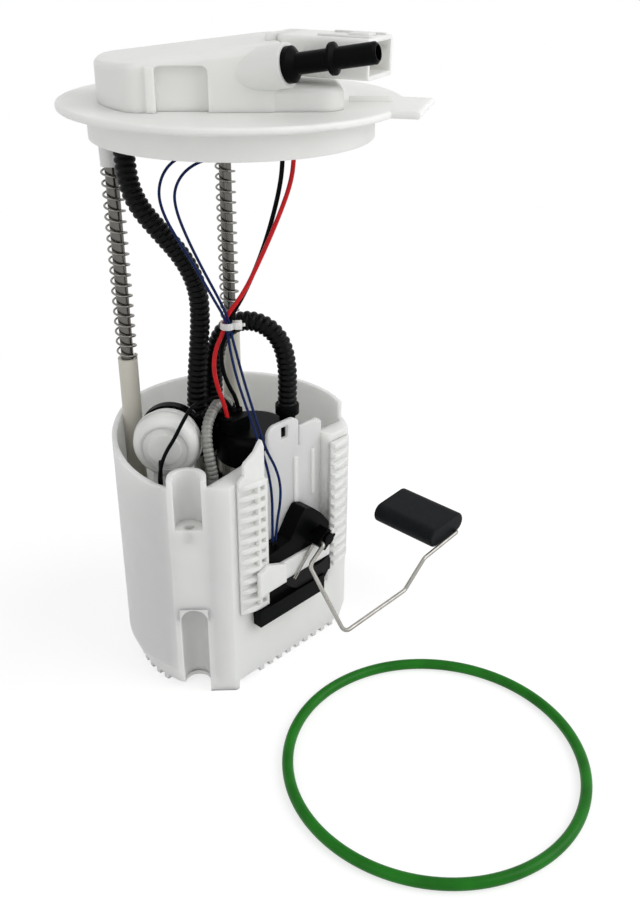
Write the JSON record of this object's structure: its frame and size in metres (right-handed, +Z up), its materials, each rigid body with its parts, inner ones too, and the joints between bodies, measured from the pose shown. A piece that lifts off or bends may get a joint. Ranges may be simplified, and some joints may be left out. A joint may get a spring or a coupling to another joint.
{
  "type": "fuel pump module",
  "caption": "In-tank fuel pump module: round tank flange with outlet and plug on sprung rods over a fuel reservoir with pump, filter, level sender, float arm and a loose tank seal.",
  "frame": {"origin": "on the flange's axis at its sealing plane, the underside of its disc", "axes": "+Z up out of the tank along the flange's axis; -Y out of the side that carries the level sender"},
  "size_m": [0.1842, 0.2795, 0.3052],
  "materials": {
    "natural_acetal": "natural white moulded acetal, slightly translucent",
    "black_plastic": "black moulded plastic",
    "guide_tube_plastic": "natural white drawn tube",
    "steel": "drawn stainless steel",
    "spring_steel": "bright spring wire",
    "terminal_brass": "tinned brass strip",
    "hose_plastic": "black corrugated nylon hose",
    "clear_nylon": "grey translucent ribbed nylon tube",
    "float_foam": "black closed-cell foam",
    "black_rubber": "black fuel-proof rubber",
    "green_rubber": "green fuel-proof rubber, glossy",
    "filter_paper": "pleated paper and woven mesh",
    "card_board": "dark resistor card",
    "magnet_iron": "ferrite and iron laminations",
    "red_insulation": "red lead insulation",
    "black_insulation": "black lead insulation",
    "blue_insulation": "dark blue lead insulation"
  },
  "bodies": {
    "reservoir": {"reservoir_cup": "natural_acetal", "sender_rail_left": "natural_acetal", "sender_rail_right": "natural_acetal", "reservoir_foot": "natural_acetal", "filter_drum": "natural_acetal", "filter_cap": "natural_acetal", "filter_stand": "natural_acetal", "sender_bracket": "natural_acetal", "lead_tie": "natural_acetal", "pump_end_cap": "black_plastic", "pump_inlet_cover": "black_plastic", "pump_sleeve": "black_plastic", "lead_plug": "black_plastic", "filter_strap": "black_plastic", "hose_manifold": "black_plastic", "jet_pump": "black_plastic", "sender_housing": "black_plastic", "rotor_clip": "black_plastic", "guide_tube_left": "guide_tube_plastic", "guide_tube_back": "guide_tube_plastic", "pressure_regulator": "steel", "pump_can": "steel", "spring_left": "spring_steel", "spring_back": "spring_steel", "supply_hose": "hose_plastic", "pump_hose": "hose_plastic", "jet_tube": "clear_nylon", "inlet_valve": "black_rubber", "filter_element": "filter_paper", "inlet_strainer": "filter_paper", "resistor_card": "card_board", "pump_magnets": "magnet_iron", "red_lead": "red_insulation", "black_lead": "black_insulation", "bond_lead": "black_insulation", "blue_lead_a": "blue_insulation", "blue_lead_b": "blue_insulation"},
    "flange": {"flange_disc": "natural_acetal", "flange_skirt": "natural_acetal", "flange_housing": "natural_acetal", "connector_shell": "natural_acetal", "outlet_nipple": "black_plastic", "nipple_seal": "black_rubber", "connector_terminals": "terminal_brass", "inner_plug": "natural_acetal", "guide_rod_left": "steel", "guide_rod_back": "steel", "rod_stop_rings": "steel"},
    "float_arm": {"sender_rotor": "black_plastic", "wiper": "steel", "float_wire": "steel", "float": "float_foam"},
    "pump_rotor": {"pump_armature": "magnet_iron", "pump_shaft": "steel", "pump_impeller": "black_plastic"},
    "seal": {"seal_ring": "green_rubber"}
  },
  "joints": [
    {"name": "flange_slide", "type": "slide", "parent": "reservoir", "child": "flange", "axis": [0, 0, 1], "range_m": [-0.04, 0], "stiffness_N_per_m": 300, "springref_m": 0.06, "deforming": ["spring_left", "spring_back", "supply_hose", "red_lead", "black_lead", "blue_lead_a", "blue_lead_b", "lead_tie"]},
    {"name": "float_swing", "type": "hinge", "parent": "reservoir", "child": "float_arm", "pos_m": [0.0154, -0.041, -0.2036], "axis": [0, -1, 0], "range_deg": [0, 60]},
    {"name": "rotor_spin", "type": "hinge", "parent": "reservoir", "child": "pump_rotor", "pos_m": [0.005, -0.003, -0.2095], "axis": [0, 0, 1], "continuous": true},
    {"name": "seal_lift", "type": "slide", "parent": "reservoir", "child": "seal", "axis": [0, 0, 1], "range_m": [0, 0.05]}
  ]
}
